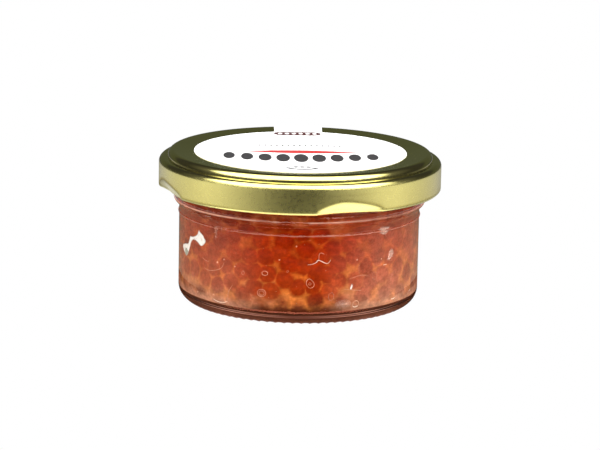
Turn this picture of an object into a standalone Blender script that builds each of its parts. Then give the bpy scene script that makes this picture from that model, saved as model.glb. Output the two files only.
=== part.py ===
# Shut glass jar filled with salmon roe, with a twist-off tin lid and a round paper label.
# Metres, +Z up. The origin is the middle of the ring that the jar rests on, and the front faces -Y.

import math
import random

import bmesh
import bpy
from mathutils import Euler, Matrix, Vector

MM = 0.001
GAP = 0.3 * MM
STEPS = 60

# Glass jar
BODY_RADIUS = 31.3 * MM
WALL = 2.35 * MM
HEEL_RADIUS = 3.55 * MM
BEARING_WIDTH = 1.2 * MM
PUSH_UP = 1.3 * MM
FLOOR_HEIGHT = 3.9 * MM
FLOOR_CORNER = 2.8 * MM
SHOULDER_HEIGHT = 25.85 * MM
BEAD_HEIGHT = 26.3 * MM
BEAD_RADIUS = 32.77 * MM
NECK_RADIUS = 32.5 * MM
MOUTH_RADIUS = 29.9 * MM
RIM_HEIGHT = 38.0 * MM
RIM_ROUND = 0.8 * MM

# Tin lid
LID_RADIUS = 36.75 * MM
LID_BOTTOM = 30.0 * MM
SHEET = 0.4 * MM
CURL_WIDTH = 1.4 * MM
CURL_HEIGHT = 1.5 * MM
SKIRT_TOP = 36.75 * MM
LEDGE_RADIUS = 35.6 * MM
LEDGE_HEIGHT = 38.3 * MM
CREST_INNER = 31.9 * MM
CREST_OUTER = 33.3 * MM
CREST_HEIGHT = 39.85 * MM
PANEL_RADIUS = 30.3 * MM
PANEL_HEIGHT = 38.7 * MM
LUGS = 4
LUG_TURN = math.radians(21.2)
LUG_HALF_ANGLE = math.radians(14.6)
LUG_DEPTH = 2.3 * MM
LUG_FACET = 2.6 * MM

# Paper label with its seal strip
LABEL_RADIUS = 27.7 * MM
PAPER = 0.15 * MM
STRIP_WIDTH = 13.2 * MM
STRIP_END = 12.0 * MM
LABEL_TURN = math.radians(1.5)

# Roe
EGG_RADIUS = (2.3 * MM, 2.8 * MM)
CORE_DEPTH = 1.75 * MM
CORE_STEPS = 32
ROE_TOP = 37.9 * MM
ROWS = 7
EGGS_IN_ROW = 25
FLOOR_RINGS = ((0.0, 1), (8.6 * MM, 6), (16.8 * MM, 12))
TOP_RINGS = ((0.0, 1), (12.6 * MM, 6))
SEED = 7


def clear_scene():
    for old in list(bpy.data.objects):
        bpy.data.objects.remove(old, do_unlink=True)


def new_collection(name):
    made = bpy.data.collections.new(name)
    bpy.context.scene.collection.children.link(made)
    return made


def material(name, colour, roughness, metallic=0.0, transmission=0.0):
    made = bpy.data.materials.new(name)
    made.use_nodes = True
    shader = made.node_tree.nodes["Principled BSDF"]
    shader.inputs["Base Color"].default_value = (*colour, 1.0)
    shader.inputs["Roughness"].default_value = roughness
    shader.inputs["Metallic"].default_value = metallic
    shader.inputs["Transmission Weight"].default_value = transmission
    return made


def arc(centre, radii, start, end, count):
    # Points of an ellipse's arc in the profile plane, angles in degrees.
    for i in range(count):
        turn = math.radians(start + (end - start) * i / (count - 1))
        yield centre[0] + radii[0] * math.cos(turn), centre[1] + radii[1] * math.sin(turn)


def turned(name, profile, steps, collection):
    # A body of revolution from a profile that runs up the inside and down the outside.
    points = [(radius, 0.0, height) for radius, height in profile]
    edges = [(i, i + 1) for i in range(len(points) - 1)]
    mesh = bpy.data.meshes.new(name)
    mesh.from_pydata(points, edges, [])
    made = bpy.data.objects.new(name, mesh)
    collection.objects.link(made)
    screw = made.modifiers.new("turn", "SCREW")
    screw.steps = screw.render_steps = steps
    screw.use_merge_vertices = True
    screw.merge_threshold = 0.00001
    return made


def apply_modifiers(thing):
    graph = bpy.context.evaluated_depsgraph_get()
    mesh = bpy.data.meshes.new_from_object(thing.evaluated_get(graph))
    thing.modifiers.clear()
    thing.data = mesh


def smooth(thing, angle=35.0):
    thing.data.shade_smooth()
    thing.data.set_sharp_from_angle(angle=math.radians(angle))


def inner_radius(height):
    # The jar's inside flares a little at the neck.
    start, end = SHOULDER_HEIGHT - 1 * MM, SHOULDER_HEIGHT + 3 * MM
    share = min(1.0, max(0.0, (height - start) / (end - start)))
    return BODY_RADIUS - WALL + share * (MOUTH_RADIUS - BODY_RADIUS + WALL)


def make_jar(parts):
    wall = BODY_RADIUS - WALL
    bearing = BODY_RADIUS - HEEL_RADIUS
    inside = [(0.0, FLOOR_HEIGHT)]
    inside += arc((wall - FLOOR_CORNER, FLOOR_HEIGHT + FLOOR_CORNER), (FLOOR_CORNER,) * 2, -90, 0, 4)
    inside += [(wall, SHOULDER_HEIGHT - 1 * MM), (MOUTH_RADIUS, SHOULDER_HEIGHT + 3 * MM)]
    rim = RIM_HEIGHT - RIM_ROUND
    mouth = [*arc((MOUTH_RADIUS + RIM_ROUND, rim), (RIM_ROUND,) * 2, 180, 90, 3)]
    mouth += arc((NECK_RADIUS - RIM_ROUND, rim), (RIM_ROUND,) * 2, 90, 0, 3)
    neck = [(NECK_RADIUS, LID_BOTTOM + 1 * MM)]
    neck += arc((BEAD_RADIUS - 0.6 * MM, BEAD_HEIGHT + 0.6 * MM), (0.6 * MM,) * 2, 0, -90, 3)
    body = [(BODY_RADIUS, SHOULDER_HEIGHT)]
    body += arc((bearing, HEEL_RADIUS), (HEEL_RADIUS,) * 2, 0, -90, 6)
    base = [(bearing - BEARING_WIDTH, 0.0), (bearing - 2 * BEARING_WIDTH, PUSH_UP * 0.7), (0.0, PUSH_UP)]
    jar = turned("glass_jar", inside + mouth + neck + body + base, STEPS, parts)
    jar.data.materials.append(material("clear_glass", (0.93, 0.96, 0.95), 0.02, transmission=1.0))
    apply_modifiers(jar)
    smooth(jar)
    return jar


def lid_profile():
    panel = [(0.0, PANEL_HEIGHT), (PANEL_RADIUS, PANEL_HEIGHT)]
    ring = [(PANEL_RADIUS + 0.9 * MM, CREST_HEIGHT - 0.35 * MM), (CREST_INNER, CREST_HEIGHT)]
    ring += [(CREST_OUTER, CREST_HEIGHT), (CREST_OUTER + 0.9 * MM, CREST_HEIGHT - 0.4 * MM)]
    ring += [(CREST_OUTER + 1.3 * MM, LEDGE_HEIGHT + 0.35 * MM)]
    ledge = [(CREST_OUTER + 1.6 * MM, LEDGE_HEIGHT)]
    shoulder_radii = (LID_RADIUS - LEDGE_RADIUS, LEDGE_HEIGHT - SKIRT_TOP)
    shoulder = [*arc((LEDGE_RADIUS, SKIRT_TOP), shoulder_radii, 90, 0, 4)]
    skirt = [(LID_RADIUS, LID_BOTTOM + 3 * MM), (LID_RADIUS, LID_BOTTOM + 1.8 * MM)]
    curl_radii = (CURL_WIDTH / 2, CURL_HEIGHT / 2)
    curl_centre = (LID_RADIUS - CURL_WIDTH / 2, LID_BOTTOM + CURL_HEIGHT / 2)
    curl = [*arc(curl_centre, curl_radii, 0, -240, 6)]
    inner = LID_RADIUS - SHEET
    under_radii = (inner - LEDGE_RADIUS + SHEET / 2, LEDGE_HEIGHT - SKIRT_TOP - SHEET)
    under = [(inner, LID_BOTTOM + CURL_HEIGHT + 0.1 * MM), (inner, LID_BOTTOM + 3 * MM)]
    under += arc((LEDGE_RADIUS - SHEET / 2, SKIRT_TOP), under_radii, 0, 90, 3)
    under += [(CREST_OUTER + 1.1 * MM, LEDGE_HEIGHT - SHEET), (CREST_OUTER + 0.7 * MM, CREST_HEIGHT - 0.9 * MM)]
    under += [(CREST_OUTER - 0.1 * MM, CREST_HEIGHT - SHEET), (CREST_INNER + 0.2 * MM, CREST_HEIGHT - SHEET)]
    under += [(PANEL_RADIUS + 0.3 * MM, PANEL_HEIGHT - SHEET), (0.0, PANEL_HEIGHT - SHEET)]
    return panel + ring + ledge + shoulder + skirt + curl + under


def press_lugs(mesh):
    # The curl is pressed inwards at the lugs, and a slanted facet runs up from it into the skirt.
    for point in mesh.vertices:
        radius = math.hypot(point.co.x, point.co.y)
        if radius < LID_RADIUS - 3 * MM or point.co.z > LID_BOTTOM + 4 * MM:
            continue
        turn = math.atan2(point.co.y, point.co.x) * LUGS / math.tau
        away = abs(turn - round(turn)) * math.tau / LUGS / LUG_HALF_ANGLE
        depth = LUG_DEPTH * max(0.0, 1 - away * away)
        slope = LUG_DEPTH / LUG_FACET
        rise = max(0.0, point.co.z - LID_BOTTOM - CURL_HEIGHT / 2)
        pressed = max(0.0, depth - slope * rise)
        point.co.xy *= (radius - pressed) / radius


def make_lid(parts):
    lid = turned("lid", lid_profile(), STEPS, parts)
    lid.data.materials.append(material("gold_lacquer", (0.62, 0.52, 0.27), 0.25, metallic=1.0))
    apply_modifiers(lid)
    press_lugs(lid.data)
    lid.rotation_euler.z = LUG_TURN
    smooth(lid)
    return lid


def label_profile():
    # The paper's underside, from the middle of the panel over the lid's edge and down to the glass.
    flat = PANEL_HEIGHT + GAP
    over = CREST_HEIGHT + GAP
    path = [(0.0, flat), (PANEL_RADIUS - 0.6 * MM, flat), (CREST_INNER - 0.4 * MM, over)]
    path += [(CREST_OUTER + 0.2 * MM, over), (LEDGE_RADIUS - 0.3 * MM, LEDGE_HEIGHT + 0.75 * MM)]
    path += arc((LEDGE_RADIUS, SKIRT_TOP), (LID_RADIUS - LEDGE_RADIUS + GAP, 1.85 * MM), 50, 0, 4)
    path += [(LID_RADIUS + GAP, LID_BOTTOM), (BODY_RADIUS + GAP, SHOULDER_HEIGHT - 3 * MM)]
    path += [(BODY_RADIUS + GAP, STRIP_END)]
    return path


def keyhole_cutter(cutters):
    # The label's outline from above: a disc with a straight strip that runs to the back.
    reach = LID_RADIUS + 5 * MM
    half = STRIP_WIDTH / 2
    join = math.asin(half / LABEL_RADIUS)
    outline = bpy.data.curves.new("label_outline", "CURVE")
    outline.dimensions = "2D"
    outline.fill_mode = "BOTH"
    outline.extrude = 30 * MM
    line = outline.splines.new("POLY")
    corners = [(half, reach), (-half, reach)]
    for i in range(STEPS + 1):
        turn = math.pi / 2 + join + (math.tau - 2 * join) * i / STEPS
        corners.append((LABEL_RADIUS * math.cos(turn), LABEL_RADIUS * math.sin(turn)))
    line.points.add(len(corners) - 1)
    for point, (x, y) in zip(line.points, corners):
        point.co = (x, y, 0.0, 1.0)
    line.use_cyclic_u = True
    guide = bpy.data.objects.new("label_outline", outline)
    guide.location.z = PANEL_HEIGHT - 10 * MM
    cutters.objects.link(guide)
    graph = bpy.context.evaluated_depsgraph_get()
    mesh = bpy.data.meshes.new_from_object(guide.evaluated_get(graph))
    cutter = bpy.data.objects.new("label_cutter", mesh)
    cutter.matrix_world = guide.matrix_world
    cutters.objects.link(cutter)
    bpy.data.objects.remove(guide)
    shape = bmesh.new()
    shape.from_mesh(mesh)
    bmesh.ops.remove_doubles(shape, verts=shape.verts, dist=0.00001)
    bmesh.ops.recalc_face_normals(shape, faces=shape.faces)
    shape.to_mesh(mesh)
    shape.free()
    cutter.hide_render = True
    cutter.display_type = "WIRE"
    return cutter


def make_label(parts, cutters):
    label = turned("label", label_profile(), STEPS, parts)
    label.data.materials.append(material("white_paper", (0.93, 0.93, 0.92), 0.45))
    sheet = label.modifiers.new("sheet", "SOLIDIFY")
    sheet.thickness = PAPER
    sheet.offset = 1.0
    trim = label.modifiers.new("outline", "BOOLEAN")
    trim.operation = "INTERSECT"
    trim.object = keyhole_cutter(cutters)
    bpy.context.view_layer.update()
    apply_modifiers(label)
    label.rotation_euler.z = LABEL_TURN
    smooth(label)
    return label


def roe_core(parts):
    # The heap without its outer eggs, a little inside the glass.
    low = FLOOR_HEIGHT + GAP + CORE_DEPTH
    high = ROE_TOP - CORE_DEPTH
    side = inner_radius(low) - GAP - CORE_DEPTH
    neck = inner_radius(high) - GAP - CORE_DEPTH
    profile = [(0.0, high), (neck - 1 * MM, high), (neck, high - 1 * MM)]
    profile += [(neck, SHOULDER_HEIGHT + 3 * MM), (side, SHOULDER_HEIGHT - 1 * MM)]
    profile += [(side, low + 2 * MM), (side - 2 * MM, low), (0.0, low)]
    core = turned("roe", profile, CORE_STEPS, parts)
    apply_modifiers(core)
    return core


def egg_places(draw):
    # Staggered rows against the glass, then rings under the lid and on the floor.
    low = FLOOR_HEIGHT + GAP + EGG_RADIUS[1] + 0.3 * MM
    pitch = (ROE_TOP - EGG_RADIUS[1] - low) / (ROWS - 1)
    for row in range(ROWS):
        for i in range(EGGS_IN_ROW):
            size = draw.uniform(*EGG_RADIUS)
            turn = math.tau * (i + 0.5 * (row % 2) + draw.uniform(-0.12, 0.12)) / EGGS_IN_ROW
            height = low + pitch * row
            if 0 < row < ROWS - 1:
                height += draw.uniform(-0.5, 0.5) * MM
            radius = inner_radius(height - size) - GAP - size
            yield Vector((radius * math.cos(turn), radius * math.sin(turn), height)), size
    for level, side, rings in ((FLOOR_HEIGHT + GAP, 1, FLOOR_RINGS), (ROE_TOP, -1, TOP_RINGS)):
        for ring, count in rings:
            for i in range(count):
                size = draw.uniform(*EGG_RADIUS)
                turn = math.tau * (i + draw.uniform(-0.12, 0.12)) / count
                yield Vector((ring * math.cos(turn), ring * math.sin(turn), level + side * size)), size


def make_egg(place, size, draw, eggs):
    # A slightly squashed ball with few sides, turned at random, that never grows past its size.
    squash = Matrix.Diagonal((size, size * draw.uniform(0.9, 1.0), size * draw.uniform(0.86, 0.98), 1.0))
    turn = Euler([draw.uniform(0, math.tau) for _ in range(3)]).to_matrix().to_4x4()
    mesh = bpy.data.meshes.new("egg")
    shape = bmesh.new()
    bmesh.ops.create_icosphere(shape, subdivisions=1, radius=1.0)
    bmesh.ops.transform(shape, matrix=turn @ squash, verts=shape.verts)
    shape.to_mesh(mesh)
    shape.free()
    egg = bpy.data.objects.new("egg", mesh)
    egg.location = place
    eggs.objects.link(egg)


def make_roe(parts):
    draw = random.Random(SEED)
    roe = roe_core(parts)
    eggs = new_collection("eggs")
    for place, size in egg_places(draw):
        make_egg(place, size, draw, eggs)
    fuse = roe.modifiers.new("fuse", "BOOLEAN")
    fuse.operation = "UNION"
    fuse.operand_type = "COLLECTION"
    fuse.collection = eggs
    fuse.solver = "MANIFOLD"
    bpy.context.view_layer.update()
    apply_modifiers(roe)
    for egg in list(eggs.objects):
        bpy.data.objects.remove(egg, do_unlink=True)
    bpy.data.collections.remove(eggs)
    roe.data.materials.clear()
    roe.data.materials.append(material("salmon_roe", (0.72, 0.16, 0.04), 0.3))
    smooth(roe, 50.0)
    return roe


def main():
    clear_scene()
    parts = new_collection("salmon_roe_jar")
    cutters = new_collection("cutters")
    base = bpy.data.objects.new("salmon_roe_base", None)
    parts.objects.link(base)
    for piece in (make_jar(parts), make_lid(parts), make_label(parts, cutters), make_roe(parts)):
        piece.parent = base


main()
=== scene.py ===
import math

import bmesh
import bpy
import numpy as np
from mathutils import Matrix, Vector


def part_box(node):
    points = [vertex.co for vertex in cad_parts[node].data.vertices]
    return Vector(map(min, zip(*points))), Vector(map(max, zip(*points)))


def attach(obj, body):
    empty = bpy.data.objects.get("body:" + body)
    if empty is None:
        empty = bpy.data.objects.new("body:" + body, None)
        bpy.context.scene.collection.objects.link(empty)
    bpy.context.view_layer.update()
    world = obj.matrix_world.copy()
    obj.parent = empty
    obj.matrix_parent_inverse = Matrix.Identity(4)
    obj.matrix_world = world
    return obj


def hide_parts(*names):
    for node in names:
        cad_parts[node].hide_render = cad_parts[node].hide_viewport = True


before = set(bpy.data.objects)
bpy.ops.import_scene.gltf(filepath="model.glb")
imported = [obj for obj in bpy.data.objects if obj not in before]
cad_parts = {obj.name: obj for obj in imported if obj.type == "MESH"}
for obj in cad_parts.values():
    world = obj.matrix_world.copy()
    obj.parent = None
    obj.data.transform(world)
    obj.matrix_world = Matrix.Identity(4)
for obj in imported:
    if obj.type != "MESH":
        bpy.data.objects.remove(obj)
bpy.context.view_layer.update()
mm = 0.001  # all sizes below are in millimetres
fullTurn = 2 * math.pi


# Small helpers for meshes

def roundCorners(corners, count=6):
    # each corner is (radius, height, how far from the corner the curve starts)
    line = []
    for i, (x, y, soft) in enumerate(corners):
        here = Vector((x, y))
        if soft == 0 or i in (0, len(corners) - 1):
            line.append(here)
            continue
        before = Vector(corners[i - 1][:2]) - here
        after = Vector(corners[i + 1][:2]) - here
        start = here + before.normalized() * min(soft, before.length * 0.49)
        end = here + after.normalized() * min(soft, after.length * 0.49)
        for k in range(count):
            t = k / (count - 1)
            line.append(start * (1 - t) ** 2 + here * 2 * t * (1 - t) + end * t ** 2)
    return [(p.x, p.y) for p in line]


def arc(centre, reach, first, last, count, tall=1.0):
    # angles are in degrees from straight up, outwards
    line = []
    for a in np.radians(np.linspace(first, last, count)):
        line.append((centre[0] + reach * math.sin(a), centre[1] + tall * reach * math.cos(a)))
    return line


def bridge(row, fresh):
    # quads between two rows of point numbers
    return [(row[i], fresh[i], fresh[i + 1], row[i + 1]) for i in range(len(row) - 1)]


def addMesh(name, points, faces, smoothAngle=40):
    mesh = bpy.data.meshes.new(name)
    faces = faces if isinstance(faces, list) else faces.tolist()
    mesh.from_pydata((np.asarray(points, float) * mm).tolist(), [], faces)
    piece = bpy.data.objects.new(name, mesh)
    bpy.context.scene.collection.objects.link(piece)
    mesh.shade_smooth()
    if smoothAngle < 180:
        mesh.set_sharp_from_angle(angle=math.radians(smoothAngle))
    return piece


def tidyMesh(piece, weld=0.002):
    # welds points that fall together and turns all faces outwards
    shape = bmesh.new()
    shape.from_mesh(piece.data)
    bmesh.ops.remove_doubles(shape, verts=shape.verts, dist=weld * mm)
    bmesh.ops.recalc_face_normals(shape, faces=shape.faces)
    shape.to_mesh(piece.data)
    shape.free()


def spin(name, profile, steps, bend=None, second=0, smoothAngle=40):
    # turns a profile of (radius, height) round Z; its first faces can take the second material
    radius, height = np.array(profile, float).T
    angle = np.linspace(0, fullTurn, steps, endpoint=False)[:, None]
    radius = np.repeat(radius[None], steps, 0)
    height = np.repeat(height[None], steps, 0)
    if bend:
        radius, height = bend(radius, angle, height)
    points = np.stack([radius * np.cos(angle), radius * np.sin(angle), height], -1)
    count = len(profile)
    i, j = np.meshgrid(np.arange(steps), np.arange(count - 1), indexing="ij")
    nextI = (i + 1) % steps
    faces = np.stack([i * count + j, nextI * count + j, nextI * count + j + 1, i * count + j + 1], -1)
    piece = addMesh(name, points.reshape(-1, 3), faces.reshape(-1, 4), smoothAngle)
    piece.data.polygons.foreach_set("material_index", (j < second).astype(int).ravel())
    tidyMesh(piece)
    return piece


def addValues(piece, name, values):
    layer = piece.data.attributes.new(name, "FLOAT", "POINT")
    layer.data.foreach_set("value", np.asarray(values, np.float32).ravel())


def finishPiece(piece, materials, slotName, *nodes):
    for made in materials:
        piece.data.materials.append(made)
    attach(piece, "root")
    if nodes:
        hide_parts(*nodes)


def joinParts(name, parts, layers, material, *nodes):
    # parts are (points, faces, a value for each layer)
    points, faces, values, total = [], [], [], 0
    for somePoints, someFaces, *some in parts:
        points.append(somePoints)
        faces.append(someFaces + total)
        values.append([np.broadcast_to(value, len(somePoints)) for value in some])
        total += len(somePoints)
    piece = addMesh(name, np.concatenate(points), np.concatenate(faces), 180)
    for layer, each in zip(layers, zip(*values)):
        addValues(piece, layer, np.concatenate(each))
    finishPiece(piece, [material], "salmon_roe", *nodes)


# Small helpers for materials: a value is a number, a colour, or another node or its output

making = {}  # the material or world in the making, and its nodes


def startNodes(owner):
    owner.use_nodes = True
    owner.node_tree.nodes.clear()
    making["owner"], making["tree"] = owner, owner.node_tree


def newMaterial(name):
    startNodes(bpy.data.materials.new(name))


def finishMaterial(surface):
    addNode("OutputMaterial", Surface=surface)
    return making["owner"]


def finishSkin(**values):
    return finishMaterial(addNode("BsdfPrincipled", **values))


def setSocket(socket, value):
    if isinstance(value, bpy.types.Node):
        value = value.outputs[0]
    if isinstance(value, bpy.types.NodeSocket):
        making["tree"].links.new(value, socket)
    elif socket.type == "RGBA":
        socket.default_value = (*value, 1)
    else:
        socket.default_value = value


def addNode(kind, **values):
    # words are the node's settings, all other values go to its sockets
    node = making["tree"].nodes.new("ShaderNode" + kind)
    for key, value in values.items():
        if isinstance(value, str):
            setattr(node, key, value)
        else:
            setSocket(node.inputs[key.replace("_", " ")], value)
    return node


def addMath(operation, *values):
    node = addNode("Math", operation=operation)
    for socket, value in zip(node.inputs, values):
        setSocket(socket, value)
    return node.outputs[0]


def multiply(total, *others):
    for other in others:
        total = addMath("MULTIPLY", total, other)
    return total


def addRamp(source, stops):
    # stops are (place, colour or grey)
    ramp = addNode("ValToRGB", Fac=source)
    band = ramp.color_ramp
    while len(band.elements) < len(stops):
        band.elements.new(1.0)
    for element, (place, colour) in zip(band.elements, stops):
        element.position = place
        element.color = (*colour, 1) if isinstance(colour, tuple) else (colour,) * 3 + (1,)
    return ramp.outputs[0]


def addNoise(size, detail=3.0, rough=0.5, stretch=(1, 1, 1)):
    # noise whose lumps are about this many millimetres wide
    place = addNode("TexCoord").outputs["Object"]
    scaled = addNode("Mapping", Vector=place, Scale=[s / (size * mm) for s in stretch])
    return addNode("TexNoise", Vector=scaled, Scale=1.0, Detail=detail, Roughness=rough).outputs[0]


def addUneven(span, start, *noise):
    # noise spread over this span
    return addMath("MULTIPLY_ADD", addNoise(*noise), span, start)


def addPlace(axis, span):
    # the place along an axis, as a share of this many millimetres
    place = addNode("SeparateXYZ", Vector=addNode("TexCoord").outputs["Object"])
    return addMath("DIVIDE", place.outputs[axis], span * mm)


def addBump(height, depth):
    # relief of about this many millimetres
    return addNode("Bump", Height=height, Distance=depth * mm)


def addValue(name):
    return addNode("Attribute", attribute_name=name).outputs["Fac"]


def addMirrored():
    # 1 for rays that a surface mirrors, 0 for those that pass through glass
    path = addNode("LightPath").outputs
    return multiply(path["Is Glossy Ray"], addMath("SUBTRACT", 1.0, path["Is Transmission Ray"]))


def addMix(share, a, b):
    mix = addNode("Mix", data_type="RGBA")
    for index, value in ((0, share), (6, a), (7, b)):
        setSocket(mix.inputs[index], value)
    return mix.outputs[2]


def addTone(colour, level):
    # makes a colour darker or lighter
    return addNode("VectorMath", operation="SCALE", Vector=colour, Scale=level).outputs[0]


def mixSurfaces(share, a, b):
    mix = addNode("MixShader")
    for socket, value in zip(mix.inputs, (share, a, b)):
        setSocket(socket, value)
    return mix


def clearUnder(share, surface):
    # clear where the share is 0
    return mixSurfaces(share, addNode("BsdfTransparent"), surface)


# Glass jar

jar = {
    "steps": 656,
    "bodyRadius": 31.3,
    "wall": 2.35,
    "heelRadius": 4.0,
    "bearingWidth": 1.2,
    "pushUp": 1.3,
    "floorHeight": 3.2,
    "floorCorner": 2.4,
    "shoulderHeight": 25.4,
    "beadHeight": (26.75, 28.1),
    "mouthRadius": 29.9,
    "neckRadius": 32.5,
    "neckFoot": 28.6,
    "flareStart": 24.85,
    "flareEnd": 28.85,
    "rimRound": 0.8,
    "seamHeight": 23.43,
    "seamRise": 0.24,
    "seamHalfWidth": 0.3,
    # notches across the ring that the jar rests on
    "knurls": 82,
    "knurlDepth": 0.85,
    "knurlReach": 0.35,
    "knurlWidth": 2.2,
    "knurlTop": 1.3,
    # painted highlight lines: height, half width, how uneven, and where they show across the front
    "glints": [
        (23.45, 0.13, [(0.3, 0.06), (0.62, 0.32)], [(0.0, 1.0), (1.0, 1.0)]),
        (27.15, 0.28, [(0.3, 0.15), (0.55, 0.8)], [
            (0.4, 1.0), (0.43, 0.05), (0.53, 0.05), (0.555, 1.0), (0.62, 1.0), (0.7, 0.5),
        ]),
    ],
    "glintTone": (0.85, 0.40, 0.27),
    "glassTone": (0.97, 0.985, 0.975),
    "mirrorTone": (1.0, 0.72, 0.62),
}
jarLow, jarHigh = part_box("glass_jar")
jar["beadRadius"] = jarHigh.x / mm
jar["rimHeight"] = jarHigh.z / mm
jar["insideRadius"] = jar["bodyRadius"] - jar["wall"]


def insideRadius(height):
    # the inside is a cylinder that flares a little at the neck
    share = np.clip((height - jar["flareStart"]) / (jar["flareEnd"] - jar["flareStart"]), 0, 1)
    share = share * share * (3 - 2 * share)
    return jar["insideRadius"] + share * (jar["mouthRadius"] - jar["insideRadius"])


def insideProfile(top):
    # from the middle of the floor, round its corner and up the wall
    corner, floor = jar["floorCorner"], jar["floorHeight"]
    centre = jar["insideRadius"] - corner
    line = [(centre * i / 8, floor) for i in range(8)]
    line += arc((centre, floor + corner), corner, 180, 90, 10)
    for height in (jar["flareStart"], *np.linspace(25.5, jar["flareEnd"], 7), top):
        line.append((float(insideRadius(height)), float(height)))
    return line


def knurlFoot(radius, angle, height):
    away = np.abs(radius - jar["bodyRadius"] + jar["heelRadius"])
    near = np.clip(1 - away / jar["knurlWidth"], 0, 1) * np.clip(1 - height / jar["knurlTop"], 0, 1)
    wave = (0.5 - 0.5 * np.cos(angle * jar["knurls"])) ** 0.8
    return radius - near * wave * jar["knurlReach"], height + near * wave * jar["knurlDepth"]


def makeJar():
    rim, edge, body, heel = jar["rimHeight"], jar["rimRound"], jar["bodyRadius"], jar["heelRadius"]
    mouth, neck, bead = jar["mouthRadius"], jar["neckRadius"], jar["beadRadius"]
    beadLow, beadHigh = jar["beadHeight"]
    seam, rise, half = jar["seamHeight"], jar["seamRise"], jar["seamHalfWidth"]
    inside = insideProfile(rim - 1.5)
    outside = [(mouth, rim - 1.4, 0), (mouth, rim, edge), (neck, rim, edge), (neck, jar["neckFoot"], 0.8)]
    outside += [(bead, beadHigh, 0.75), (bead, beadLow, 0.7), (body, jar["shoulderHeight"], 0.35)]
    outside += [(body, seam + half, 0.05), (body + rise, seam, 0.1), (body + rise, seam - 0.6 * half, 0.1)]
    outside += [(body, seam - half, 0.05), (body, 14.0, 0)]
    bearing, width, pushUp = body - heel, jar["bearingWidth"], jar["pushUp"]
    foot = [(bearing - 1.4, 0.1, 0), (bearing - 3.2, 0.8, 1.0), (bearing - 7, pushUp, 2), (0, pushUp, 0)]
    profile = inside + roundCorners(outside) + arc((bearing, heel), heel, 90, 180, 16)
    profile += [(bearing - width / 2, 0.0), (bearing - width, 0.0)] + roundCorners(foot)
    piece = spin("glassJar", profile, jar["steps"], knurlFoot, second=len(inside))
    finishPiece(piece, [clearGlass(), wetGlass()], "clear_glass", "glass_jar")


def clearGlass():
    # moulded glass that lets the light through to what it holds, with painted highlight lines
    newMaterial("clearGlass")
    glass = addNode("BsdfPrincipled", Base_Color=jar["glassTone"], Specular_Tint=jar["mirrorTone"], IOR=1.5,
                    Roughness=0.01, Transmission_Weight=1.0, Normal=addBump(addNoise(9, 2), 0.05))
    # flat orange diffuse colour for the painted highlight lines
    glint = addNode("BsdfDiffuse", Color=jar["glintTone"])
    lined = mixSurfaces(addGlints(), glass, glint)
    shadow = addNode("LightPath").outputs["Is Shadow Ray"]
    return finishMaterial(mixSurfaces(shadow, lined, addNode("BsdfTransparent")))


def addGlints():
    # painted highlights: thin uneven lines where the seam and the bead under the lid catch the light
    across = addMath("ADD", addPlace("X", 60), 0.5)
    total = 0.0
    for high, half, uneven, shown in jar["glints"]:
        away = addMath("ABSOLUTE", addMath("SUBTRACT", addPlace("Z", 2), high / 2))
        band = addRamp(away, [(0.3 * half, 1.0), (0.5 * half, 0.0)])
        patches = addRamp(addNoise(9, 3, 0.5, (1, 1, 3)), uneven)
        total = addMath("MAXIMUM", total, multiply(band, patches, addRamp(across, shown)))
    return total


def wetGlass():
    # the inside face is wet all over, so it neither bends nor mirrors light
    newMaterial("wetGlass")
    return finishMaterial(addNode("BsdfTransparent"))


# Tin lid

lid = {
    "steps": 420,
    "sheet": 0.4,
    "panelHeight": 38.95,
    "panelEdge": 28.1,
    "crest": (32.84, 37.81, 1.59),  # radius and height of the raised ring's middle, and its own radius
    "ledgeHeight": 37.62,
    "shoulder": 1.42,
    "curlWidth": 1.4,
    "curlHeight": 1.5,
    "lugs": 4,
    "lugTurn": 21.2,
    "lugHalfAngle": 14.6,
    "lugDepth": 1.4,
    "lugLift": 0.15,
    "lugFacet": 2.6,
    "lugStart": 0.75,
    "lugRound": 0.05,
    "skirt": 5.1,
    "gold": [(0.3, (0.50, 0.447, 0.145)), (0.7, (0.56, 0.503, 0.17))],
}
lidLow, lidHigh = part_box("lid")
lid["radius"] = lidHigh.x / mm
lid["bottom"] = lidLow.z / mm - 0.25


def lidProfile():
    panel, outer, low, ledge = lid["panelHeight"], lid["radius"], lid["bottom"], lid["ledgeHeight"]
    middle, height, reach = lid["crest"]
    shoulder, inner = lid["shoulder"], outer - lid["sheet"]
    wide, tall = lid["curlWidth"] / 2, lid["curlHeight"] / 2
    line = [(r, panel) for r in (0.0, 10.0, 20.0, 27.3, lid["panelEdge"])] + [(29.0, panel + 0.08)]
    line += arc((middle, height), reach, -5, 84, 18)
    line.append((line[-1][0] + 0.06, ledge))
    line += arc((outer - shoulder, ledge - shoulder), shoulder, 0, 90, 14)
    line += [(outer, z) for z in np.linspace(low + 5.2, low + 1.2, 17)]
    line += arc((outer - wide, low + tall), wide, 90, 340, 13, tall / wide)
    under = [(inner, low + 2 * tall + 0.1, 0), (inner, low + 4.5, 0), (inner, 37.2, 0.9), (33.9, 37.2, 0.3)]
    under += [(33.9, 38.9, 1.0), (32.2, 39.0, 0.6), (28.2, panel - 0.4, 0.3), (0, panel - 0.4, 0)]
    return line + roundCorners(under, 4)


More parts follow.
